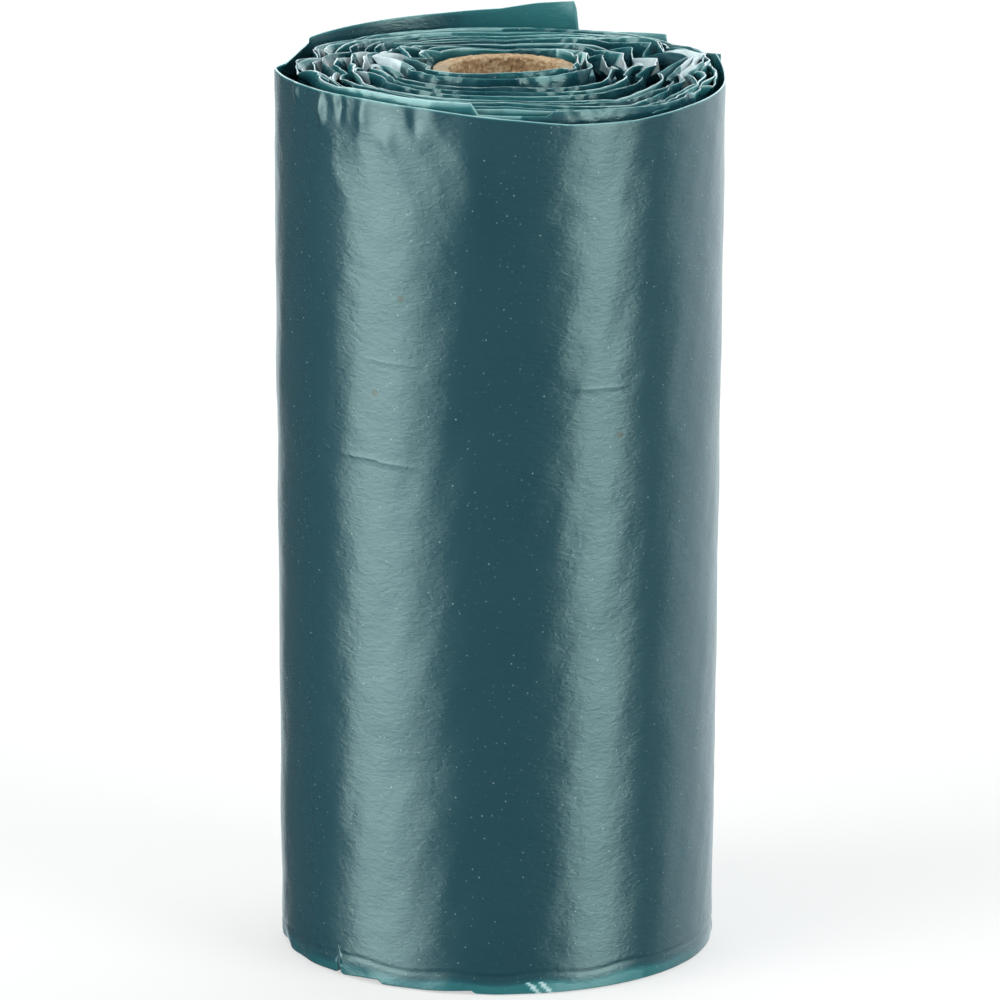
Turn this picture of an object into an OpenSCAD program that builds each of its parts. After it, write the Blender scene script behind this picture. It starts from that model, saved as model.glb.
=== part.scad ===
// A roll of dog waste bags. One long web of folded film is wound on a paper core,
// so the roll is two pieces: the core tube and the wound web.
// The roll stands on its end. The origin is on the core's axis, at the bottom.
// The front is towards -Y, and azimuths run from +X towards +Y.

/* [Roll] */
// Length of the roll: the core, and the folded web that is wound on it
roll_length = 64.3; // [50:0.1:80]
// Diameter of the roll halfway up
roll_d = 31.8; // [30:0.2:36]
// Growth of the diameter from the bottom to the top
flare = 1; // [0:0.1:1.5]
// Distance by which the outside of the roll lies off the core's axis, to the left
off_axis = 0.2; // [0:0.05:0.3]
// Number of turns whose edges show at the ends
turns = 10; // [8:1:11]
// Thickness of one turn, which is a bunch of folded layers
turn_t = 0.45; // [0.35:0.05:0.5]

/* [Core] */
// Outside diameter of the paper core
core_d = 10.3; // [9:0.1:12]
// Wall of the paper core
core_wall = 1.1; // [0.8:0.1:1.5]
// Clearance between the core and the web
core_clearance = 0.05; // [0.03:0.01:0.1]

/* [Top end] */
// Depth of the gaps between the turns at the top
top_depth = 4; // [2.5:0.5:8]
// Height of the limp edge that leans over at the top of each turn
limp_h = 1.3; // [0.8:0.1:2]
// Mean rise of the innermost turn above the core
crown = 0.5; // [0:0.1:1.5]
// Rise of the turns' edges at the front, and their fall at the back
tilt = 0.5; // [0:0.1:1]
// Height by which the turns' edges wander up and down
wander_h = 0.4; // [0:0.05:0.8]
// Distance by which the outer turn stands off the others on the left
slack = 0.75; // [0:0.05:1]

/* [Tail] */
// Azimuth of the web's free end
tail_azimuth = 15; // [5:1:30]
// Thickness of the web at its free end
tail_t = 0.3; // [0.2:0.05:0.35]
// Distance by which the free end is drawn in towards the turn inside it
tail_pull = 0.2; // [0:0.05:0.25]
// Azimuth at which the second layer of the tail ends
second_end = 43; // [38:0.5:52]
// Azimuth at which the tall layer of the tail ends
tall_end = 71; // [64:0.5:80]
// Height of the tall layer above the core
tall_rise = 1.8; // [1:0.1:4]

/* [Bottom end] */
// Depth of the gaps between the turns at the bottom
bottom_depth = 2.5; // [1.5:0.5:5]
// Distance by which the roll's lower edge is drawn in, except at the back right
tuck = 0.25; // [0:0.05:0.35]

/* [Hidden] */

core_colour = [0.66, 0.52, 0.38];
film_colour = [0.16, 0.35, 0.39];

core_r = core_d / 2;
bore_r = core_r - core_wall;

// The turns lie further apart near the core than at the rim
turn_ease = 0.75;
// Part of the last turn at which the outside is at the nominal radius
nominal_turn = 0.3;
// Thickness of the web's glued inner end, between the bore and the first turn
start_lip = 0.15;
// Outside of the web above the bottom, where the rows of the outer wall lie
wall_rows = [0.86, 0.72, 0.58, 0.44, 0.3, 0.17, 0.08];
// Depth of the shallow dents in the outer wall
dent = 0.07;
// Azimuth at which the turns' edges stand highest
tilt_azimuth = 270;
// Corners between which the outer turn's rim runs straight
corners = [149, 186];
// Widest angle between two stations of the web, in degrees
step_angle = 8.5;
// Half the angle between the two stations on each side of a torn end
end_angle = 0.35;
// Stations from one crumple to the next, along the web
crumple_every = 3;

// Rim of the outer turn: azimuth, and height above the core's end
outer_rim = [
    [tail_azimuth, 0.2], [34, -0.6], [second_end - end_angle, -0.65],
    [second_end + end_angle, 0.25], [60, -0.2], [tall_end - end_angle, -0.35],
    [tall_end + end_angle, tall_rise], [82, 0.85 * tall_rise], [91, 1.1],
    [106, 0.9], [126, 0.65], [149, 0.45], [154, 0], [163, -0.5], [180, -0.25],
    [191, 0.25], [205, 0.5], [233, 0.55], [250, 0.35], [263, 0], [275, -0.35],
    [287, -0.75], [305, -0.9], [326, -0.7], [360, -0.6],
    [360 + tail_azimuth, -0.5]
];

// Rim of the turn inside it, with the two torn ends that show at the front
front_ends = [262, 282];
second_rim = [
    [tail_azimuth, 0], [60, -0.1], [91, -0.2], [120, -0.1], [150, 0.1], [180, 0.4],
    [215, 0.9], [front_ends[0] - end_angle, 0.75],
    [front_ends[0] + end_angle, -0.05], [front_ends[1] - end_angle, -0.25],
    [front_ends[1] + end_angle, 0.1], [305, -0.1], [330, -0.15],
    [360 + tail_azimuth, 0]
];

// Lower edge of the roll: azimuth, and distance by which it is drawn in
foot_tuck = [[tail_azimuth, 0], [60, 0], [150, tuck], [345, tuck], [360 + tail_azimuth, 0]];
// Azimuth, and height above the table at which the outer turn bends inwards
foot_bend = [
    [tail_azimuth, bottom_depth], [60, bottom_depth], [150, 1.2], [345, 1.2],
    [360 + tail_azimuth, bottom_depth]
];

// Stations of one turn, as parts of that turn. The web runs clockwise outwards
// from the tail's azimuth. A pair of stations stands at each torn end.
torn_ends = [front_ends[1], front_ends[0], tall_end, second_end];
end_parts = [
    for (a = torn_ends) (tail_azimuth - a + (a > tail_azimuth ? 360 : 0)) / 360
];
end_part = end_angle / 360;
function stretch(from, to) =
    let (count = ceil((to - from) * 360 / step_angle))
    [for (k = [0:count]) from + (to - from) * k / count];
parts_with_last = concat(
    stretch(0, end_parts[0] - end_part),
    stretch(end_parts[0] + end_part, end_parts[1] - end_part),
    stretch(end_parts[1] + end_part, end_parts[2] - end_part),
    stretch(end_parts[2] + end_part, end_parts[3] - end_part),
    stretch(end_parts[3] + end_part, 1)
);
per_turn = len(parts_with_last) - 1;
last = turns * per_turn;
outer_start = last - per_turn;

function along(i) = floor(i / per_turn) + parts_with_last[i % per_turn];
function azimuth(i) = tail_azimuth - 360 * parts_with_last[i % per_turn];
function bearing(i) = azimuth(i) + (azimuth(i) < tail_azimuth ? 360 : 0);
function is_outer(i) = i >= outer_start;
function is_second(i) = i >= outer_start - per_turn && i < outer_start;

// Random crumples, joined by straight lines as creased film is
crumples = rands(-1, 1, 3 * (ceil(last / crumple_every) + 3), 41);
function crumple(i, kind) =
    let (
        knot = floor(i / crumple_every),
        share = i / crumple_every - knot,
        base = kind * (ceil(last / crumple_every) + 3) + knot
    )
    crumples[base] * (1 - share) + crumples[base + 1] * share;

// Outside radius at a height, as a share of the roll's length
function outside(share) = roll_d / 2 + flare / 2 * (share - 0.5);

// Inner face of the web at a station. The first turn starts on the core.
function spread(i) = pow(along(i) / (turns - 1 + nominal_turn), turn_ease);
function standoff(i) =
    is_outer(i) ? 0 : slack * pow(max(0, -cos(azimuth(i))), 3) * along(i) / turns;
web_r = core_r + core_clearance + start_lip;
function outer_part(i) = max(0, along(i) - (turns - 1));
function thick(i) = turn_t + (tail_t - turn_t) * pow(outer_part(i), 4);
function face(i, share, loose) =
    web_r + (outside(share) - turn_t - web_r - off_axis * cos(azimuth(i))) * spread(i)
        - loose * standoff(i) - tail_pull * pow(outer_part(i), 2);
function pitch(i, share) = face(i + per_turn, share, 0) - face(i, share, 0);
function room(i, share) = is_outer(i) ? turn_t : pitch(i, share) - turn_t;

function rim(i) =
    is_outer(i) ? lookup(i == last ? tail_azimuth : bearing(i), outer_rim)
    : is_second(i) ? lookup(bearing(i), second_rim)
    : crown * (1 - 1.2 * along(i) / turns) + wander_h * crumple(i, 0)
        + tilt * cos(azimuth(i) - tilt_azimuth) * (0.8 + 0.4 * along(i) / turns);

function place(i, r, z) = [r * cos(azimuth(i)), r * sin(azimuth(i)), z];

// Points of each station, in rows along the web
lean_share = 0.42;
top_floor = roll_length - top_depth;
all = [0:last];
function top_face(i) = face(i, 1, 1);
// How far a straight run from corner to corner lies inside the round
function cut_in(i) =
    let (half = (corners[1] - corners[0]) / 2, off = abs(bearing(i) - corners[0] - half))
    off < half ? 0.8 * outside(1) * (1 - cos(half) / cos(off)) : 0;
function lean(i) = is_outer(i) ? -cut_in(i) : lean_share * room(i, 1) * crumple(i, 1);
function kink(i) = is_outer(i) ? -cut_in(i) : lean_share * room(i, 1) * crumple(i, 2);
top_rows = [
    [for (i = all) place(i, top_face(i), top_floor)],
    [for (i = all) place(i, top_face(i) + kink(i), roll_length + rim(i) - limp_h)],
    [for (i = all) place(i, top_face(i) + lean(i), roll_length + rim(i))],
    [for (i = all) place(i, top_face(i) + thick(i) + lean(i), roll_length + rim(i))],
    [for (i = all) place(i, top_face(i) + thick(i) + kink(i),
        roll_length + rim(i) - limp_h)],
    [for (i = all) place(i, top_face(i) + thick(i), top_floor)]
];

outer = [outer_start:last];
function wall_r(i, share) =
    face(i, share, 0) + thick(i) + dent * crumple(i - round(share * per_turn), 1);
wall = [
    for (share = wall_rows) [for (i = outer) place(i, wall_r(i, share), roll_length * share)]
];

function bottom_face(i) = face(i, 0, 0);
// The turns lean inwards together at the bottom, and less towards the core
function tucked(i) = lookup(bearing(i), foot_tuck) * pow(along(i) / turns, 1.5);
function bend_z(i) = is_outer(i) ? lookup(bearing(i), foot_bend) : bottom_depth;
bottom_rows = [
    [for (i = all) place(i, bottom_face(i) + thick(i), bend_z(i))],
    [for (i = all) place(i, bottom_face(i) + thick(i) - tucked(i), 0)],
    [for (i = all) place(i, bottom_face(i) - tucked(i), 0)],
    [for (i = all) place(i, bottom_face(i), bottom_depth)]
];

// The bore is a polygon that clears the core all round
bore_ring_r = (core_r + core_clearance) / cos(step_angle / 2);
bore_rows = [
    for (z = [bottom_depth, top_floor]) [for (i = [0:per_turn - 1]) place(i, bore_ring_r, z)]
];

function joined(lists) = [for (l = lists) each l];
web_points = concat(joined(top_rows), joined(wall), joined(bottom_rows), joined(bore_rows));

// Numbers of the points, by row and station
n_top = len(top_rows);
n_wall = len(wall_rows);
row_len = last + 1;
wall_base = n_top * row_len;
bottom_base = wall_base + n_wall * (per_turn + 1);
bore_base = bottom_base + len(bottom_rows) * row_len;
function top_at(row, i) = row * row_len + i;
function wall_at(row, i) =
    row < 0 ? top_at(n_top - 1, i)
    : row < n_wall ? wall_base + row * (per_turn + 1) + i - outer_start
    : bottom_at(0, i);
function bottom_at(row, i) = bottom_base + row * row_len + i;
function bore_at(row, i) = bore_base + row * per_turn + i % per_turn;

top_foot = n_top - 1;
bottom_foot = len(bottom_rows) - 1;
web_faces = concat(
    // Inner side, edge and outer side of every turn, at the top and the bottom
    [for (j = [0:top_foot - 1], i = [0:last - 1])
        [top_at(j, i), top_at(j + 1, i), top_at(j + 1, i + 1), top_at(j, i + 1)]],
    [for (j = [0:bottom_foot - 1], i = [0:last - 1])
        [bottom_at(j, i), bottom_at(j + 1, i), bottom_at(j + 1, i + 1), bottom_at(j, i + 1)]],
    // Floors of the gaps between one turn and the next
    [for (i = [0:outer_start - 1])
        let (o = i + per_turn)
        [top_at(top_foot, i), top_at(0, o), top_at(0, o + 1), top_at(top_foot, i + 1)]],
    [for (i = [0:outer_start - 1])
        let (o = i + per_turn)
        [bottom_at(bottom_foot, o), bottom_at(0, i), bottom_at(0, i + 1),
            bottom_at(bottom_foot, o + 1)]],
    // Outside of the roll
    [for (j = [-1:n_wall - 1], i = [outer_start:last - 1])
        [wall_at(j, i), wall_at(j + 1, i), wall_at(j + 1, i + 1), wall_at(j, i + 1)]],
    // Bore, and the floors between it and the first turn
    [for (i = [0:per_turn - 1])
        [bore_at(0, i), bore_at(1, i), bore_at(1, i + 1), bore_at(0, i + 1)]],
    [for (i = [0:per_turn - 2])
        [bore_at(1, i), top_at(0, i), top_at(0, i + 1), bore_at(1, i + 1)]],
    [for (i = [0:per_turn - 2])
        [bottom_at(bottom_foot, i), bore_at(0, i), bore_at(0, i + 1),
            bottom_at(bottom_foot, i + 1)]],
    [[bore_at(1, per_turn - 1), top_at(0, per_turn - 1), top_at(0, per_turn),
        top_at(top_foot, 0), top_at(0, 0), bore_at(1, 0)]],
    [[bottom_at(bottom_foot, per_turn - 1), bore_at(0, per_turn - 1), bore_at(0, 0),
        bottom_at(bottom_foot, 0), bottom_at(0, 0), bottom_at(bottom_foot, per_turn)]],
    // Inner end of the web
    [[for (j = [n_top + 1:-1:2]) top_at(j % n_top, 0)]],
    [[for (j = [bottom_foot:-1:0]) bottom_at(j, 0)]],
    // Free end of the web
    [[for (j = [1:n_top]) top_at(j % n_top, last)]],
    [[for (j = [0:bottom_foot]) bottom_at(j, last)]],
    [[wall_at(0, last), wall_at(0, outer_start), wall_at(-1, outer_start), top_at(0, last),
        wall_at(-1, last)]],
    [for (j = [0:n_wall - 2])
        [wall_at(j, outer_start), wall_at(j, last), wall_at(j + 1, last),
            wall_at(j + 1, outer_start)]],
    [[wall_at(n_wall - 1, outer_start), wall_at(n_wall - 1, last), bottom_at(0, last),
        bottom_at(bottom_foot, last), bottom_at(0, outer_start)]]
);

// Paper tube that the web is wound on
module core() {
    color(core_colour)
    difference() {
        cylinder(h = roll_length, r = core_r, $fn = 96);
        translate([0, 0, -1]) cylinder(h = roll_length + 2, r = bore_r, $fn = 96);
    }
}

// The wound web: one body, with the edge of each turn standing free at both ends
module bag_web() {
    color(film_colour)
    polyhedron(points = web_points, faces = web_faces, convexity = 12);
}

core();
bag_web();
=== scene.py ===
import bpy
import math
import numpy as np
from mathutils import Matrix


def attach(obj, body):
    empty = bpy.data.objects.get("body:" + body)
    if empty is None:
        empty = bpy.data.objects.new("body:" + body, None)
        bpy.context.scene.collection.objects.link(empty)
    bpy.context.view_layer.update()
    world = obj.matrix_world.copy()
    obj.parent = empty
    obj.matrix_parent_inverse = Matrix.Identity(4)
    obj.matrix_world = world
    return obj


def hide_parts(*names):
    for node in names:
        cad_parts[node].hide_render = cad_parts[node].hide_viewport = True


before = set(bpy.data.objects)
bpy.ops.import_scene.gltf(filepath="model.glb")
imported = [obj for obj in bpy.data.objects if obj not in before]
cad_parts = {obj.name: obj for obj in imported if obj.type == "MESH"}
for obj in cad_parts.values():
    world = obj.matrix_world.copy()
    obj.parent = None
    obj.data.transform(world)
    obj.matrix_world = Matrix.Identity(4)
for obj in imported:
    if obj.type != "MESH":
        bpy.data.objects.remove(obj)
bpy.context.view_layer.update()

# The paper core
# A tube of grey-brown paperboard, wound from strips of rough board and cut to length. The web is
# wound tightly on it. Its inside shows at the top, with the fibres standing up along the cut.

# Lengths are in millimetres, and azimuths in degrees from +X towards +Y
MM = 0.001
roll_length = 64.3
core_r = 5.15
bore_r = 4.05
core_stations = 220
cut_bevel = 0.12
bore_bevel = 0.08
fibre_h = 0.075
ragged_h = 0.03


def linear(hex_colour):
    """sRGB hex to linear RGBA."""
    rgb = np.array([int(hex_colour[i:i + 2], 16) for i in (1, 3, 5)]) / 255
    lin = np.where(rgb <= 0.04045, rgb / 12.92, ((rgb + 0.055) / 1.055) ** 2.4)
    return (*lin.tolist(), 1.0)


def grey(level):
    """A level of a mask or a lamp as RGBA."""
    return (level, level, level, 1.0)


def add(tree, kind, inputs=(), stops=(), **settings):
    """Adds a node. inputs pairs a socket's name or number with a value, or with a node's output.
    stops are the places and colours along a colour ramp, and settings are the node's own."""
    node = tree.nodes.new(kind)
    for name, value in settings.items():
        setattr(node, name, value)
    for name, value in dict(inputs).items():
        if isinstance(value, bpy.types.NodeSocket):
            tree.links.new(value, node.inputs[name])
        else:
            node.inputs[name].default_value = value
    while len(stops) > 2 and len(node.color_ramp.elements) < len(stops):
        node.color_ramp.elements.new(0.5)
    for k, (place_on_ramp, colour) in enumerate(stops):
        node.color_ramp.elements[k].position = place_on_ramp
        node.color_ramp.elements[k].color = colour
    return node


def new_material(name):
    """An empty material and its node tree."""
    material = bpy.data.materials.new(name)
    material.use_nodes = True
    material.node_tree.nodes.clear()
    return material, material.node_tree


def make_piece(name, points, material, ring=False, thinness_and_painted_light=None):
    """A row of closed outlines (outline, point, xyz, in mm), joined into a mesh in metres. In a
    ring the last outline joins the first, and otherwise a face closes each end. The values of the
    last argument are stored at each point, for the material: lighter where the film is one layer,
    with painted shade and painted highlights and reflections."""
    count, size = points.shape[:2]
    number = np.arange(count * size).reshape(count, size)
    rows = np.concatenate([number, number[:1]], 0) if ring else number
    rows = np.concatenate([rows, rows[:, :1]], 1)
    quads = np.stack([rows[:-1, :-1], rows[1:, :-1], rows[1:, 1:], rows[:-1, 1:]], -1)
    ends = [] if ring else [number[0].tolist(), number[-1, ::-1].tolist()]
    faces = quads.reshape(-1, 4).tolist() + ends
    mesh = bpy.data.meshes.new(name)
    mesh.from_pydata((points.reshape(-1, 3) * MM).tolist(), [], faces)
    mesh.polygons.foreach_set("use_smooth", [True] * len(mesh.polygons))
    if thinness_and_painted_light is not None:
        mesh.attributes.new("thinness_and_painted_light", "FLOAT", "POINT").data.foreach_set("value", thinness_and_painted_light.ravel())
    mesh.materials.append(material)
    piece = bpy.data.objects.new(name, mesh)
    bpy.context.scene.collection.objects.link(piece)
    return piece


def round_axis(theta, r, z):
    """Points at an azimuth in radians, a distance from the core's axis and a height."""
    return np.stack([r * np.cos(theta), r * np.sin(theta), z + 0 * r], -1)


def waves(x, y, count, seed, low, high):
    """A sum of sine waves in random directions, count of them, with low to high radians per mm."""
    pick = np.random.default_rng(seed)
    out = np.zeros(np.broadcast(x, y).shape)
    for _ in range(count):
        k = pick.uniform(low, high)
        way, phase = pick.uniform(0, 2 * np.pi, 2)
        out += np.sin(k * (np.cos(way) * x + np.sin(way) * y) + phase)
    return out / math.sqrt(count)


def make_core():
    """A tube's outline carried round the axis: up the outside, over the cut, down the bore and
    across the foot. Waves of the radius make the fibres of the bore, and waves of the height that
    fade away from the top make the cut ragged."""
    up = np.sort(np.concatenate([np.linspace(0, 1, 14), 1 - 0.5 ** np.arange(4, 9)]))
    deep = np.linspace(0, 1, 90) ** 1.6
    cut_r = np.linspace(core_r - cut_bevel, bore_r + cut_bevel, 6)
    foot_r = np.linspace(bore_r + cut_bevel, core_r - cut_bevel, 4)
    r = np.concatenate([np.full(len(up), core_r), cut_r, np.full(len(deep), bore_r), foot_r])
    z = np.concatenate([up * roll_length, np.full(len(cut_r), roll_length),
                        roll_length - bore_bevel - deep * (roll_length - 2 * bore_bevel),
                        np.zeros(len(foot_r))])
    theta = np.linspace(0, 2 * np.pi, core_stations, endpoint=False)[:, None]
    inside = (r < core_r - 0.05) & (z > 1)
    fibres = fibre_h * waves(theta * core_r, z, 50, 5, 6, 24) * inside
    near_top = np.exp(-(roll_length - z) / 1.5)
    ragged = np.minimum(ragged_h * waves(theta * core_r, 3 * r, 12, 6, 2, 12) * near_top, 0.02)
    return round_axis(theta, np.minimum(r + fibres, core_r), z + ragged)


# Rough uncoated paperboard: matt, with fibres of many browns lying every way, about 2.6 to the
# millimetre, over paler and darker patches 1.1 mm across
board, tree = new_material("core_paperboard")
place = add(tree, "ShaderNodeTexCoord").outputs["Object"]
fibre = add(tree, "ShaderNodeTexNoise", {"Vector": place, "Scale": 2.6 / MM, "Detail": 5,
            "Roughness": 0.7}).outputs[0]
patch = add(tree, "ShaderNodeTexNoise", {"Vector": place, "Scale": 0.9 / MM, "Detail": 3,
            "Roughness": 0.6}).outputs[0]
fibre_colour = add(tree, "ShaderNodeValToRGB", {0: fibre}, stops=(
    (0.34, linear("#86694d")), (0.5, linear("#bb9a75")), (0.66, linear("#efdcc0")))).outputs[0]
patch_colour = add(tree, "ShaderNodeValToRGB", {0: patch}, stops=(
    (0.35, linear("#8d7153")), (0.65, linear("#cbb08c")))).outputs[0]
board_colour = add(tree, "ShaderNodeMix", {0: 0.35, 6: fibre_colour, 7: patch_colour},
                   data_type="RGBA").outputs[2]
# Faces that look up at the cut are greyer than the inside, more so at the front than at the back
facing = add(tree, "ShaderNodeSeparateXYZ",
             {0: add(tree, "ShaderNodeNewGeometry").outputs["Normal"]})
upward = add(tree, "ShaderNodeValToRGB", {0: facing.outputs["Z"]},
             stops=((0.5, grey(0)), (0.8, grey(1)))).outputs[0]
place_parts = add(tree, "ShaderNodeSeparateXYZ", {0: place})
towards_front = add(tree, "ShaderNodeMapRange", {0: place_parts.outputs["Y"], 1: 0.5 * MM, 2: 2.5 * MM,
               3: 0.8, 4: 0.1}).outputs[0]
cut_face = add(tree, "ShaderNodeMath", {0: upward, 1: towards_front}, operation="MULTIPLY").outputs[0]
cut_colour = add(tree, "ShaderNodeMix", {0: cut_face, 6: board_colour, 7: linear("#ab9c86")},
                 data_type="RGBA").outputs[2]
relief = add(tree, "ShaderNodeBump", {"Strength": 0.9, "Distance": 0.12 * MM, "Height": fibre})
surface = add(tree, "ShaderNodeBsdfPrincipled", {"Base Color": cut_colour, "Roughness": 0.9,
              "Specular IOR Level": 0.2, "Normal": relief.outputs[0]})
add(tree, "ShaderNodeOutputMaterial", {0: surface.outputs[0]})

paper_core = make_piece("paper_core", make_core(), board, ring=True)
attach(paper_core, "root")
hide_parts("core")

# The wound web
# Thin polyethylene bags, folded lengthways into a web and wound tightly on the core, each turn
# lying on the one before. The folds stand free at both ends, where they part into bunches and
# crumple, with sharp corners at the left and right.

tail_azimuth = 15.0    # where the web's free end lies
inner_turns = 12       # turns inside the outer one
per_turn = 360         # stations of the grid in a turn
film_t = 0.1           # thickness of a turn at its free edge
wall_t = 0.28          # thickness of the outer turn
roll_r = 15.9          # radius of the roll halfway up
flare = 0.48           # growth of the radius from the foot to the top
off_axis = 0.305       # distance of the roll's outside from the core's axis, to the left
last_growth = 0.3      # growth of the radius along the last turn
turn_ease = 0.75       # power that spaces the turns, closer together outwards
limp_h = 1.25          # height of the limp edge that tips over
free_h = 6.0           # depth at which a turn is back in its place in the wall
crease_gap = 0.13      # least distance between turns at the crease below the limp edge
edge_gap = 0.06        # least distance between them at the free edge


def outside(azimuth, part, z):
    """Radius of the roll's outside: it widens upwards, lies off the core's axis to the left, and
    grows along the last turn."""
    return (roll_r + flare * (z / roll_length - 0.5) + last_growth * (part - 0.29)
            - off_axis * np.cos(np.radians(azimuth)))


def knotted(azimuth, places, values):
    """Straight lines through values at places, going round and round every 360 degrees."""
    return np.interp(np.mod(azimuth - places[0], 360) + places[0],
                     [*places, places[0] + 360], [*values, values[0]])


def knots(x, spacing, jitter, seed):
    """Places that cover x, each moved by up to jitter of their spacing, and the generator that
    picked them. They lie on stations of the grid, so that each crease is one sharp line."""
    pick = np.random.default_rng(seed)
    count = int(np.max(x) / spacing) + 3
    places = (np.arange(count) + pick.uniform(-jitter, jitter, count)) * spacing
    return np.round(places * per_turn) / per_turn, pick


def creased(x, spacing, seed):
    """Straight lines between random values at knots along x, as creased film runs."""
    places, pick = knots(x, spacing, 0.4, seed)
    return np.interp(x, places, pick.uniform(-1, 1, len(places)))


def pleated(x, spacing, seed):
    """Straight lines between knots that go in and out by turns, each by a random share."""
    places, pick = knots(x, spacing, 0.35, seed)
    in_and_out = (-1.0) ** np.arange(len(places))
    return np.interp(x, places, pick.uniform(0.35, 1, len(places)) * in_and_out)


def stepped(x, spacing, seed):
    """Random values that hold from knot to knot, as at the cut and folded ends of layers. The
    knots are those of pleated with the same seed."""
    places, pick = knots(x, spacing, 0.35, seed)
    return pick.uniform(-1, 1, len(places) + 1)[np.searchsorted(places, x)]


def in_order(r, along, limit, apart):
    """Pushes turns outwards, and then inwards from the limit, until they lie apart."""
    r = np.maximum.accumulate(r - apart * along, 0) + apart * along
    r = np.minimum(r, limit - apart * (inner_turns + 0.5 - along))
    return np.maximum(r, core_r + 0.12 + apart * along)


# Azimuth, distance by which the lower edge is drawn in, and height of its bend
foot_azimuth = (15, 60, 150, 345)
foot_tuck = (0.02, 0.02, 0.12, 0.12)
foot_bend = (2.5, 2.5, 1.2, 1.2)


def tucked(azimuth, z):
    """Distance by which the film is drawn in near its lower edge: a parabola below its bend."""
    bend = knotted(azimuth, foot_azimuth, foot_bend)
    return knotted(azimuth, foot_azimuth, foot_tuck) * np.clip(1 - z / bend, 0, 1) ** 2


# Every station of the inner turns: a row for each turn, which starts and ends at the tail. part is
# the share of its turn that lies before it, and along counts turns from the core.
part = np.linspace(0, 1, per_turn + 1)[None, :]
along = np.arange(inner_turns)[:, None] + part
azimuth = (tail_azimuth - 360 * part) + 0 * along
theta = np.radians(azimuth)
at_left = np.cos(theta) < 0
near_side = (np.cos(theta) ** 2) ** 1.5

# Where the turns' walls stand, below their free edges: the first on the core, the last inside the
# outer turn, and the others between them
first_r = core_r + 0.03 + film_t / 2
wound_share = (along / (inner_turns + 0.3)) ** turn_ease
wall_top_r, wall_foot_r = (
    first_r + (outside(azimuth, part, z) - wall_t - first_r) * wound_share
    for z in (roll_length, 0))
pitch = (roll_r - first_r) * turn_ease / inner_turns \
    * (np.maximum(along, 0.6) / inner_turns) ** (turn_ease - 1)

# Where their free edges stand, on six sides: the azimuth, the edges' radii, and their heights
# above the core's end, from the first turn outwards
sides = ((0.5, (5.3, 6.6, 8.3, 9.7, 11.1, 12.6, 13.5, 14, 14.4, 14.8, 15.1, 15.3),
          (0.6, 0.7, 0.3, 0.4, 0.6, 0.9, 0.9, 0.8, 0.5, 0.3, 0.15, 0.1)),
         (310, (5.9, 6.6, 8.8, 9.6, 10.8, 12.2, 12.8, 13.6, 14.3, 14.5, 15, 15.4),
          (1, 0.7, 0.3, 0.1, 0.05, -0.15, -0.25, -0.35, -0.45, -0.6, -0.75, -0.85)),
         (270, (6.3, 6.6, 9.2, 9.5, 10.6, 11.9, 12.2, 13.2, 14.2, 14.4, 15, 15.4),
          (1, 0.65, 0.62, 0.3, 0.22, 0.27, 0.2, 0.37, 0.3, 0.2, -0.37, -0.38)),
         (238, (6.5, 7.4, 9.2, 9.6, 10.6, 11.8, 12.2, 13.1, 14.1, 14.4, 14.9, 15.3),
          (0.8, 0.64, 0.47, 0.3, 0.22, 0.2, 0.12, 0.1, 0.15, 0.05, 0, -0.05)),
         (180, (6.8, 8.7, 9.3, 9.9, 10.7, 11.6, 12.2, 13, 13.9, 14.3, 14.6, 14.8),
          (0.7, 0.9, 0.6, 0.4, 0.35, 0.5, 0.3, 0.4, 0.3, 0.2, 0.15, 0.1)),
         (90, (6.2, 7.3, 8.2, 9.2, 10.2, 11.2, 12, 12.8, 13.6, 14.3, 14.9, 15.4),
          (0, -0.15, -0.08, -0.2, -0.12, -0.25, -0.22, -0.34, -0.24, -0.3, -0.16, -0.13)))
side_along = [k + (tail_azimuth - side[0]) % 360 / 360
              for k in range(inner_turns) for side in sides]
side_r, side_h = (
    np.interp(along, side_along, [side[kind][k] for k in range(inner_turns) for side in sides])
    for kind in (1, 2))
# The turn next to the outer one has its own rim: azimuths, and heights above the core's end
second_rim = ((15, 60, 91, 120, 150, 180, 215, 261.7, 262.3, 281.7, 282.3, 305, 330),
              (0, -0.1, -0.2, -0.1, 0.1, 0.4, 0.9, 0.75, -0.05, -0.25, 0.1, -0.1, -0.15))
# The outer turn stands off the others by this, and by more at the left
stand_off = 0.3 + 1.15 * np.exp(-((np.mod(azimuth, 360) - 178) / 30) ** 2)
limit = outside(azimuth, part, roll_length) - wall_t - stand_off

# Degrees from each turn's corner, which lies within 7 degrees of the side. The film runs straight
# from it for 30 degrees, so its radius sags between as a chord does.
from_corner = np.abs(np.mod(azimuth - 3 - 7 * creased(along, 0.5, 18) + 90, 180) - 90)
straight = np.minimum(from_corner / 30, 1)
wander = 0.08 * creased(along, 0.23, 13) + 0.2 * near_side * creased(along, 0.06, 15)
crease_r = side_r - 0.75 * 4 * straight * (1 - straight) + wander * np.minimum(along, 1)
crease_r = in_order(crease_r, along, limit, crease_gap)
# The limp edge tips over by a few degrees, and at the sides in and out by turns, in pleats
pleat = pleated(along, 0.045, 17)
tip = np.radians(8) * creased(along, 0.08, 16) + np.radians(55) * near_side * pleat
tip = tip * np.minimum(along * 1.5, 1)
edge_r = in_order(crease_r + limp_h * np.sin(tip), along, limit + 0.15, edge_gap)
fall = limp_h * (1 - np.cos(tip))
edge_h = side_h + 0.06 * creased(along, 0.07, 31) + near_side * (
    0.2 * creased(along, 0.04, 32) + 0.35 * pleat)
# Two turns stand lower than the others at the front
edge_h = edge_h - 0.75 * ((azimuth > 261) & (azimuth < 282) & (along > 8) & (along < 10))
near_rim = np.clip((along - 10.6) / 0.6, 0, 1)
edge_h = edge_h * (1 - near_rim) + near_rim * (knotted(azimuth, *second_rim)
                                               + 0.06 * creased(along, 0.06, 33))
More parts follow.
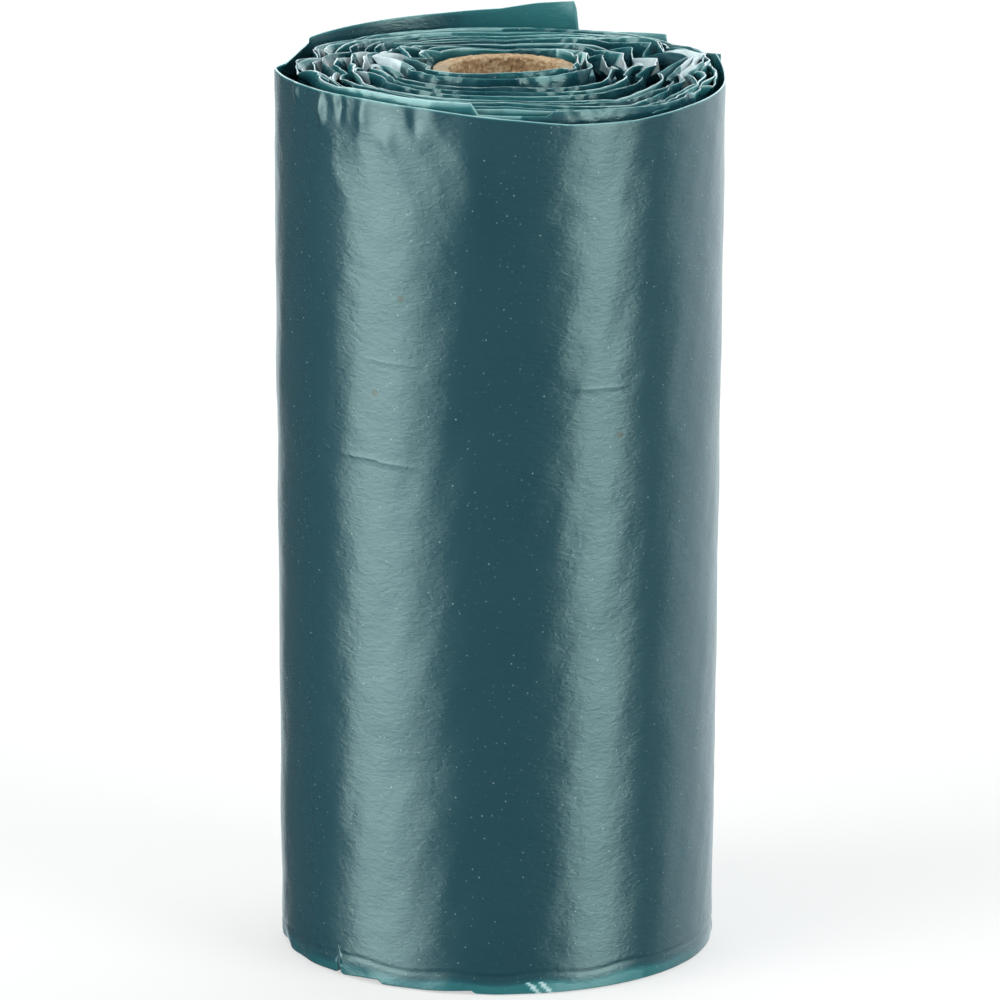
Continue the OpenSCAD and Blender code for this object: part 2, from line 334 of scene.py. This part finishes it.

# Painted reflection: faces between pleats on the inner turns, within some degrees of their
# corners, painted milky pale as a reflection of the side lamps
reflection_reach = np.where(at_left, 24, 18)
reflection_turns = np.where(at_left, 9.3, 7.6)
painted_reflection = np.clip((stepped(along, 0.045, 17) + np.where(at_left, 0, 0.5)) / 0.2, 0, 1) \
    * np.clip((reflection_reach - from_corner) / 3, 0, 1) * (along < reflection_turns)
# How much lighter or darker each stretch of film is
lightness = 0.3 * creased(along, 0.08, 51) + 0.2 * stepped(along, 0.15, 52)


def web_strip(first, last):
    """Outlines of the web across its length from turn first to last, down the outer side and up
    the inner side, and how light the film looks there: lighter where it is one layer, with painted
    shade and painted highlights and reflections. Radius and height are functions of the place
    along the web and of the depth below its free edge. The edge tips over at a crease, the rest
    leans back to its place in the wall, and the film thickens downwards into its bunch of layers."""
    def run(a):
        rows = [a[k, :-1] for k in range(first, last)] + [a[last - 1, -1:]]
        return np.concatenate(rows)[:, None]
    from_top = np.array([[0, 0.06, 0.5, 0.95, 1.25, 1.6, 2.2, 2.9, 3.8, 4.8, 6.0, 9.0]])
    from_foot = np.array([[20, 6, 4.2, 3, 2, 1.2, 0.5, 0.15, 0]])
    far = 30    # stands for a place away from that end
    edge = roll_length + run(edge_h)
    limp = np.clip(1 - from_top / limp_h, 0, 1)
    z = np.concatenate([edge - from_top - run(fall) * limp, from_foot + 0 * edge], 1)
    depth = np.concatenate([from_top, 0 * from_foot + far], 1)
    height = np.concatenate([0 * from_top + far, from_foot], 1)
    strip_theta = np.radians(run(azimuth))
    wall = run(wall_foot_r) + (run(wall_top_r) - run(wall_foot_r)) * z / roll_length
    back = np.clip(1 - (depth - limp_h) / (free_h - limp_h), 0, 1) ** 1.3
    r = wall + (run(crease_r) - run(wall_top_r)) * back \
        + (run(edge_r) - run(crease_r)) * np.clip(1 - depth / limp_h, 0, 1)
    r = r - tucked(run(azimuth), z) * (run(along) / inner_turns) ** 1.5
    full = np.clip((depth - 2.4) / 5.6, 0, 1) * np.clip((height - 0.2) / 5, 0, 1)
    half = film_t / 2 + (0.47 * run(pitch) - film_t / 2) * full ** 1.3
    half = half * np.where((depth == 0) | (height == 0), 0.4, 1)
    crinkle = 0.05 * waves(strip_theta * r, z, 16, 18, 2, 7) * np.clip(1 - depth / 5, 0, 1)
    r_out = r + half + crinkle
    r_in = np.maximum(r - half + crinkle, core_r + 0.02)
    # Lighter at the free edge, where one layer lets light through, and there partly a painted
    # highlight along the edge; darker below, and past 1.5 mm darker than the wall, painted shade
    # between the turns; milky pale on the folded faces between pleats, a painted reflection
    thinness_and_painted_light = np.interp(depth, [0, 0.06, 0.3, 0.8, 1.5, 3], [0.86, 0.76, 0.6, 0.35, 0.12, 0]) + 0 * r
    thinness_and_painted_light = thinness_and_painted_light + run(lightness) * np.interp(depth, [0, 0.1, 0.8, 1.5], [0.5, 1, 0.8, 0])
    # Brighter still along the very edge at the left and right sides: a painted highlight
    thinness_and_painted_light = np.clip(thinness_and_painted_light, 0, 0.89) + 0.1 * run(near_side) * (depth < 0.05)
    grain = 0.9 + 0.1 * np.clip(waves(strip_theta * r, 2 * z, 8, 19, 4, 12), -1, 1)
    # Painted reflection on the faces between pleats, milky pale with a little grain
    painted_reflection_faces = run(painted_reflection) * (depth < limp_h) * grain
    painted_reflection_faces = (0.86 + 0.14 * painted_reflection_faces) * (painted_reflection_faces > 0)
    inner_thinness_and_painted_light = np.maximum(thinness_and_painted_light, painted_reflection_faces)
    outer_thinness_and_painted_light = np.maximum(thinness_and_painted_light, painted_reflection_faces * (run(from_corner) < 12))
    outlines = np.concatenate([round_axis(strip_theta, r_out, z),
                               round_axis(strip_theta, r_in, z)[:, ::-1]], 1)
    return outlines, np.concatenate([outer_thinness_and_painted_light, inner_thinness_and_painted_light[:, ::-1]], 1)


# Blown low-density polyethylene film, pressed flat in many layers. It is dark teal in bulk, and
# darker still at the bottom of the ramp, which is painted shade deep between the turns. It is
# lighter where one layer stands alone and lets light through (near 0.8 on the ramp). Near 1 it is
# milky where it is stretched or sharply folded, and it is also painted pale there as highlights
# along the edges and as a reflection on the faces between pleats. It has the soft uneven gloss of
# fine wrinkles.
film, tree = new_material("blown_polyethylene_film")
place = add(tree, "ShaderNodeTexCoord").outputs["Object"]
thinness_and_painted_light = add(tree, "ShaderNodeAttribute", attribute_name="thinness_and_painted_light", attribute_type="GEOMETRY")
# Below 0.12 the ramp is painted shade; its stops near 1 are painted highlights and reflections as
# well as milky folds
film_colour = add(tree, "ShaderNodeValToRGB", {0: thinness_and_painted_light.outputs["Fac"]}, stops=(
    (0.0, linear("#112d36")), (0.12, linear("#183e49")), (0.5, linear("#1d4e59")),
    (0.8, linear("#2e6f75")), (0.88, linear("#7dadb1")), (1.0, linear("#dde8ee")))).outputs[0]
# Pinholes and dust in the film, 0.03 to 0.1 mm across and of every brightness, from 2.6 cells to
# the millimetre. The cells are turned so that no row of them lies along the surface.
turned_place = add(tree, "ShaderNodeMapping", {"Vector": place, "Rotation": (0.5, 0.35, 0.7)})
dust = add(tree, "ShaderNodeTexVoronoi", {"Vector": turned_place.outputs[0], "Scale": 2.6 / MM})
grain = add(tree, "ShaderNodeValToRGB", {0: dust.outputs["Distance"]},
            stops=((0.07, grey(0.5)), (0.17, grey(0)))).outputs[0]
brightness = add(tree, "ShaderNodeValToRGB", {0: dust.outputs["Color"]},
                 stops=((0.35, grey(0)), (0.75, grey(0.3)), (0.93, grey(1)))).outputs[0]
speck = add(tree, "ShaderNodeMath", {0: grain, 1: brightness}, operation="MULTIPLY").outputs[0]
worn_colour = add(tree, "ShaderNodeMix", {0: speck, 6: film_colour, 7: linear("#c4dedd")},
                  data_type="RGBA").outputs[2]
# Three specks of dirt on the front, 0.45 mm across, nearly black. Depth counts for a tenth, so
# that they go through the wrap.
flat_place = add(tree, "ShaderNodeVectorMath", {0: place, 1: (1, 0.1, 1)}, operation="MULTIPLY")
for spot in ((-7.3, -1.44, 50.8), (-9.1, -1.33, 43.7), (8.2, -1.38, 40.8)):
    away = add(tree, "ShaderNodeVectorMath", {0: flat_place.outputs[0],
               1: [c * MM for c in spot]}, operation="DISTANCE").outputs["Value"]
    dirt = add(tree, "ShaderNodeMapRange", {0: away, 1: 0.3 * MM, 2: 0.18 * MM}).outputs[0]
    worn_colour = add(tree, "ShaderNodeMix", {0: dirt, 6: worn_colour, 7: linear("#1c1815")},
                      data_type="RGBA").outputs[2]
# Wrinkles, 1.4 to the millimetre round the roll and twice that up it, on swells 3 mm across
stretch = add(tree, "ShaderNodeMapping", {"Vector": place, "Scale": (1, 1, 2.0)}).outputs[0]
wrinkle = add(tree, "ShaderNodeTexNoise", {"Vector": stretch, "Scale": 1.4 / MM, "Detail": 2,
              "Roughness": 0.6, "Distortion": 0.6}).outputs[0]
swell = add(tree, "ShaderNodeTexNoise", {"Vector": stretch, "Scale": 0.33 / MM, "Detail": 2,
            "Roughness": 0.5, "Distortion": 0.3}).outputs[0]
rough = add(tree, "ShaderNodeMath", {0: swell, 1: 0.5, 2: wrinkle}, operation="MULTIPLY_ADD")
relief = add(tree, "ShaderNodeBump", {"Strength": 1.0, "Distance": 0.03 * MM,
             "Height": rough.outputs[0]})
surface = add(tree, "ShaderNodeBsdfPrincipled", {"Base Color": worn_colour, "Roughness": 0.24,
              "Specular IOR Level": 0.8, "Specular Tint": (0.75, 1.0, 0.97, 1.0),
              "Normal": relief.outputs[0]})
add(tree, "ShaderNodeOutputMaterial", {0: surface.outputs[0]})

for name, first, last in (("web_inner_turns", 0, 4), ("web_middle_turns", 4, 8),
                          ("web_outer_turns", 8, 12)):
    outlines, strip_thinness_and_painted_light = web_strip(first, last)
    bunch = make_piece(name, outlines, film, thinness_and_painted_light=strip_thinness_and_painted_light)
    bunch.data.set_sharp_from_angle(angle=math.radians(22))
    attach(bunch, "root")
    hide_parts("bag_web")

# The outer turn
# The last turn of the web, the only one seen whole: several layers of film pressed flat, which
# cling to the turns below. Its layers end one after another at the back right, where the tallest
# stands up as a tab, and its rim is folded over at the back left.

# The grid: azimuths round the turn from the tail inwards, and rows down the wall, closer together
# at both edges and at the creases across the front
last_part = np.linspace(0, 1, 520)[:, None]
last_azimuth = tail_azimuth - 360 * last_part
last_theta = np.radians(last_azimuth)
compass = np.mod(last_azimuth, 360)
round_crease = np.array([-0.22, -0.1, 0, 0.1, 0.22])
rows = np.sort(np.concatenate([
    [0, 0.06, 0.16], np.linspace(0.35, 8, 40)[:-1], np.linspace(8, 60, 94)[:-1],
    np.linspace(60, 64.05, 28), [64.15, 64.22, roll_length],
    *(crease_depth + round_crease for crease_depth in (18.6, 19.35, 25.85))]))
down = rows[None, :]

# Height: the rows share out the wall between its rim and its lower edge. The tables give azimuths
# with heights of the rim above the core's end, and of the lower edge, with its steps and nicks.
outer_rim = ((15, 33, 42.6, 43.4, 60, 70.6, 71.4, 82, 91, 106, 126, 149, 154, 163, 180, 189,
              205, 233, 250, 263, 275, 287, 305, 326, 360),
             (0.25, -0.6, -0.65, 0.25, -0.2, -0.35, 1.8, 1.5, 1.05, 0.82, 0.65, 0.5, 0.5, 0.45,
              0.35, 0.4, 0.5, 0.55, 0.35, 0, -0.35, -0.75, -0.9, -0.7, -0.6))
lower_edge = ((190, 195, 196, 215, 221.6, 222.4, 223.2, 236, 236.8, 250, 262, 262.8, 300, 350),
              (0.3, 0.5, 0.1, 0.02, 0.1, 0.9, 0.02, 0.3, 0.02, 0.05, 0.22, 0, 0, 0))
rim = roll_length + knotted(last_azimuth, *outer_rim)
z = rim - down * ((rim - knotted(last_azimuth, *lower_edge)) / roll_length)
arc = last_theta * roll_r

# Thickness: it thins towards its inner end and at the rim, except where the rim is folded over
end_t = 0.12
rim_t = 0.1
fold_t = 0.46
fold_azimuth = 167.5
from_fold = compass - fold_azimuth
folded = np.clip(3 - np.abs(from_fold) / 6.2, 0, 1)
thickness = wall_t + (end_t - wall_t) * last_part ** 3
thickness = np.minimum(thickness, rim_t + 0.15 * down)
thickness = np.maximum(thickness, fold_t * folded * np.clip(1 - down / 3, 0, 1))

# Radius: the roll's outside, cut in straight between two corners where the rim is folded, drawn
# in at the foot, with slow ripples, puckers, creases and the fold line of the hem
fold_half = 18.5
chord = 1 - math.cos(math.radians(fold_half)) / np.cos(np.radians(from_fold))
cut_in = np.where(np.abs(from_fold) < fold_half, chord, 0)
r = outside(last_azimuth, last_part, z) * (1 - cut_in * np.clip(1 - down / 6, 0, 1) ** 1.6)
r = r - tucked(last_azimuth, z)
ripple = 0.024 * waves(arc, z, 10, 41, 0.3, 0.8) + 0.01 * waves(arc, z, 14, 42, 1.2, 3.0)
# Puckers below the rim: azimuth, depth below the rim, width, height and lift
for pucker_azimuth, deep, wide, high, lift in (
        (206.5, 0.6, 0.35, 0.6, 0.2), (217.7, 1.2, 0.38, 1.0, 0.28), (225, 0.8, 0.3, 0.8, -0.22),
        (232, 1.5, 0.5, 1.3, 0.14), (247, 1.0, 0.5, 1.0, -0.14), (239.5, 2.6, 0.6, 1.2, 0.1),
        (263, 4, 2.2, 4, 0.36)):
    across = np.radians(compass - pucker_azimuth) * roll_r
    ripple = ripple + lift * np.exp(-(across / wide) ** 2 - ((down - deep) / high) ** 2)
# Sharp folds that run down from the puckers at the front left
near_puckers = np.clip(1 - np.abs(compass - 235) / 38, 0, 1) * np.exp(-down / 5)
ripple = ripple + 0.12 * (0.6 - np.abs(waves(arc, z, 5, 43, 0.7, 1.5))) * near_puckers
# Creases across the front: azimuth and depth of both ends, and lift
for from_azimuth, to_azimuth, from_depth, to_depth, lift in (
        (224.4, 249.5, 25.8, 25.95, 0.035), (231.8, 249.5, 18.65, 18.55, 0.02),
        (288.2, 304.2, 19.35, 19.4, 0.035)):
    share = (compass - from_azimuth) / (to_azimuth - from_azimuth)
    deep = from_depth + (to_depth - from_depth) * share
    fade = np.clip(8 * share * (1 - share), 0, 1)
    ripple = ripple + lift * np.exp(-((down - deep) / 0.13) ** 2) * fade
# The hem: a fold line that wanders, and small waves below it that are stronger at the left
hem_h = 1.45 + 0.12 * waves(arc, 0 * z, 6, 45, 0.2, 1.2)
hem_line = -0.07 * np.exp(-((z - hem_h) / 0.12) ** 2)
hem_waves = 0.05 * waves(arc, 2 * z, 8, 46, 0.6, 2.2) \
    * np.clip(1.6 - z, 0, 1) * np.clip((300 - compass) / 30, 0.1, 1)
# The rim's edge is drawn in, so that it is round
edge_share = np.where(down == 0, 1, np.where(down < 0.1, 0.5, 0))
rounding = 0.3 * edge_share * np.minimum(thickness, 0.12)
r_out = r + ripple * np.clip(z / 3, 0, 1) + hem_line + hem_waves - rounding
inner_rows = [0, 1, 3, 8, 30, 60, len(rows) - 1]
r_in = (r - thickness)[:, inner_rows]

# How light the film looks: one layer alone lets light through at the rim, at the ends of the tail
# and at the hem; a painted highlight runs along the rim's edge, and the folded rim is crinkled and
# white
# Painted highlight along the rim's edge, lightest at the top row
rim_highlight_and_fold = np.interp(down, [0, 0.06, 0.16], [0.92, 0.8, 0])
crinkled = 0.95 + 0.05 * np.clip(waves(arc, 3 * down, 8, 44, 5, 12), -1, 1)
rim_highlight_and_fold = np.maximum(rim_highlight_and_fold, crinkled * folded * (down < 0.1))
hem_light = knotted(last_azimuth, (150, 200, 225, 262, 285, 310, 340),
                    (0.5, 0.5, 0.62, 0.74, 0.83, 0.82, 0.5))
below_hem = hem_light * np.clip((hem_h - 0.2 - z) / 0.6, 0, 1)
outer_thinness_and_painted_light = np.maximum(rim_highlight_and_fold, np.maximum(0.12, below_hem)) + 0 * r_out
# Two fine slanting lines where the hem is stretched: distances to the right of the front, in mm
for start in (1.9, 2.8):
    from_line = arc + roll_r * np.pi / 2 - start - 0.9 * (0.9 - z)
    outer_thinness_and_painted_light = np.where((np.abs(from_line) < 0.19) & (z < 0.95), 0.96, outer_thinness_and_painted_light)
alone = knotted(last_azimuth, (15, 42, 71, 100, 108, 160, 350),
                (0.82, 0.82, 0.85, 0.6, 0.25, 0.15, 0.2))
inner_light = alone * np.clip(1.1 - down / 9, 0, 1)
inner_thinness_and_painted_light = np.maximum(rim_highlight_and_fold, np.maximum(0.12, inner_light))[:, inner_rows] + 0 * r_in

outlines = np.concatenate([round_axis(last_theta, r_out, z),
                           round_axis(last_theta, r_in, z[:, inner_rows])[:, ::-1]], 1)
outer_turn = make_piece("web_last_turn", outlines, film,
                        thinness_and_painted_light=np.concatenate([outer_thinness_and_painted_light, inner_thinness_and_painted_light[:, ::-1]], 1))
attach(outer_turn, "root")
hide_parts("bag_web")

# The studio
# A pale floor, and soft light from tall panels to the left and right, from behind and from above.
# It isn't part of the roll.

floor_size = 1.5
floor_drop = 0.0001
floor_mesh = bpy.data.meshes.new("floor")
floor_mesh.from_pydata([(x * floor_size, y * floor_size, -floor_drop)
                        for x, y in ((-1, -1), (1, -1), (1, 1), (-1, 1))], [], [(0, 1, 2, 3)])
floor = bpy.data.objects.new("floor", floor_mesh)
bpy.context.scene.collection.objects.link(floor)
paper, tree = new_material("floor_paper")
surface = add(tree, "ShaderNodeBsdfPrincipled", {"Base Color": linear("#f1f1f1"), "Roughness": 0.9,
              "Specular IOR Level": 0.1})
# Part of its white is its own, for the camera alone, so that the shadow on it is faint
own_light = add(tree, "ShaderNodeEmission", {0: grey(1), 1: 1.0})
camera_ray = add(tree, "ShaderNodeLightPath").outputs["Is Camera Ray"]
own_share = add(tree, "ShaderNodeMath", {0: camera_ray, 1: 0.55}, operation="MULTIPLY")
lightened = add(tree, "ShaderNodeMixShader", {0: own_share.outputs[0], 1: surface.outputs[0],
                2: own_light.outputs[0]})
add(tree, "ShaderNodeOutputMaterial", {0: lightened.outputs[0]})
floor_mesh.materials.append(paper)
floor.visible_glossy = False

world = bpy.data.worlds.new("studio")
world.use_nodes = True
bpy.context.scene.world = world
tree = world.node_tree
tree.nodes.clear()
axes = add(tree, "ShaderNodeSeparateXYZ",
           {0: add(tree, "ShaderNodeTexCoord").outputs["Generated"]}).outputs
# The compass is turned so that 0.5 is the camera's side, 0.75 is the right and 0.25 the left
turned = add(tree, "ShaderNodeCombineXYZ", {0: axes["Y"], 1: axes["X"]})
turned = add(tree, "ShaderNodeVectorMath", {0: turned.outputs[0], 1: (-1, 1, 1)},
             operation="MULTIPLY")
all_round = add(tree, "ShaderNodeTexGradient", {0: turned.outputs[0]},
                gradient_type="RADIAL").outputs[1]
upwards = add(tree, "ShaderNodeMapRange", {0: axes["Z"], 1: -1.0, 2: 1.0}).outputs[0]


def at(degrees):
    """Place on the ramp of a direction so many degrees to the right of the camera."""
    return 0.5 + degrees / 360


# Strength of the side panels, and of the other lamps as shares of it
panel_light = 6.4
rear_light = 1.6 / panel_light
backdrop_light = grey(1.8 / panel_light)
above_light = grey(0.9 / panel_light)
rear = (0.9 * rear_light, rear_light, 1.03 * rear_light, 1.0)
left, left_edge = (0.97, 1.0, 0.97, 1.0), (0.93, 0.99, 0.95, 1.0)
right = (0.87, 0.93, 0.89, 1.0)
panels = add(tree, "ShaderNodeValToRGB", {0: all_round}, stops=(
    (at(-163), rear), (at(-154), grey(0.03)),
    (at(-90), grey(0.03)), (at(-78), left_edge), (at(-55), left), (at(-27), grey(0.04)),
    (at(32), grey(0.04)), (at(45), right), (at(60), right), (at(77), grey(0.04)),
    (at(93), grey(0.05)), (at(107), rear))).outputs[0]
panel_heights = add(tree, "ShaderNodeValToRGB", {0: upwards}, stops=(
    (0.2, grey(0.2)), (0.375, grey(0.72)), (0.5, grey(1)), (0.62, grey(0.7)), (0.86, grey(0.7)),
    (0.93, grey(0)))).outputs[0]
above = add(tree, "ShaderNodeValToRGB", {0: upwards},
            stops=((0.86, grey(0)), (0.95, above_light))).outputs[0]
# The backdrop behind is brighter above the table
behind = add(tree, "ShaderNodeValToRGB", {0: all_round}, stops=(
    (at(-170), grey(1)), (at(-150), grey(0)), (at(105), grey(0)), (at(130), grey(1)))).outputs[0]
backdrop_heights = add(tree, "ShaderNodeValToRGB", {0: upwards}, stops=(
    (0.47, grey(0)), (0.55, backdrop_light), (0.75, backdrop_light), (0.85, grey(0)))).outputs[0]
backdrop = add(tree, "ShaderNodeMix", {0: 1.0, 6: behind, 7: backdrop_heights},
               data_type="RGBA", blend_type="MULTIPLY")
lit = add(tree, "ShaderNodeMix", {0: 1.0, 6: panels, 7: panel_heights},
          data_type="RGBA", blend_type="MULTIPLY")
for lamp in (above, backdrop.outputs[2]):
    lit = add(tree, "ShaderNodeMix", {0: 1.0, 6: lit.outputs[2], 7: lamp},
              data_type="RGBA", blend_type="ADD")
room = add(tree, "ShaderNodeBackground", {0: lit.outputs[2], 1: panel_light})
white_room = add(tree, "ShaderNodeBackground", {0: grey(1), 1: 1.0})
camera_ray = add(tree, "ShaderNodeLightPath").outputs["Is Camera Ray"]
seen = add(tree, "ShaderNodeMixShader",
           {0: camera_ray, 1: room.outputs[0], 2: white_room.outputs[0]})
add(tree, "ShaderNodeOutputWorld", {0: seen.outputs[0]})
world.cycles.sampling_method = "NONE"

# The camera
# It looks down at the roll by 14.5 degrees from 0.7 m away, and is tilted a little to the side.
# Lengths here are in metres.

camera_away = 0.7
camera_down = math.radians(14.54)
camera_roll = math.radians(0.19)
aim_x, aim_z = -0.000263, 0.03248
camera_data = bpy.data.cameras.new("camera")
camera_data.lens = 349.04
camera_data.sensor_width = 36
camera_data.clip_start = 0.01
camera = bpy.data.objects.new("camera", camera_data)
bpy.context.scene.collection.objects.link(camera)
camera.location = (aim_x, -camera_away * math.cos(camera_down),
                   aim_z + camera_away * math.sin(camera_down))
camera.rotation_euler = (Matrix.Rotation(math.pi / 2 - camera_down, 3, "X")
                         @ Matrix.Rotation(camera_roll, 3, "Z")).to_euler()
bpy.context.scene.camera = camera

bpy.context.scene.view_settings.view_transform = "Standard"
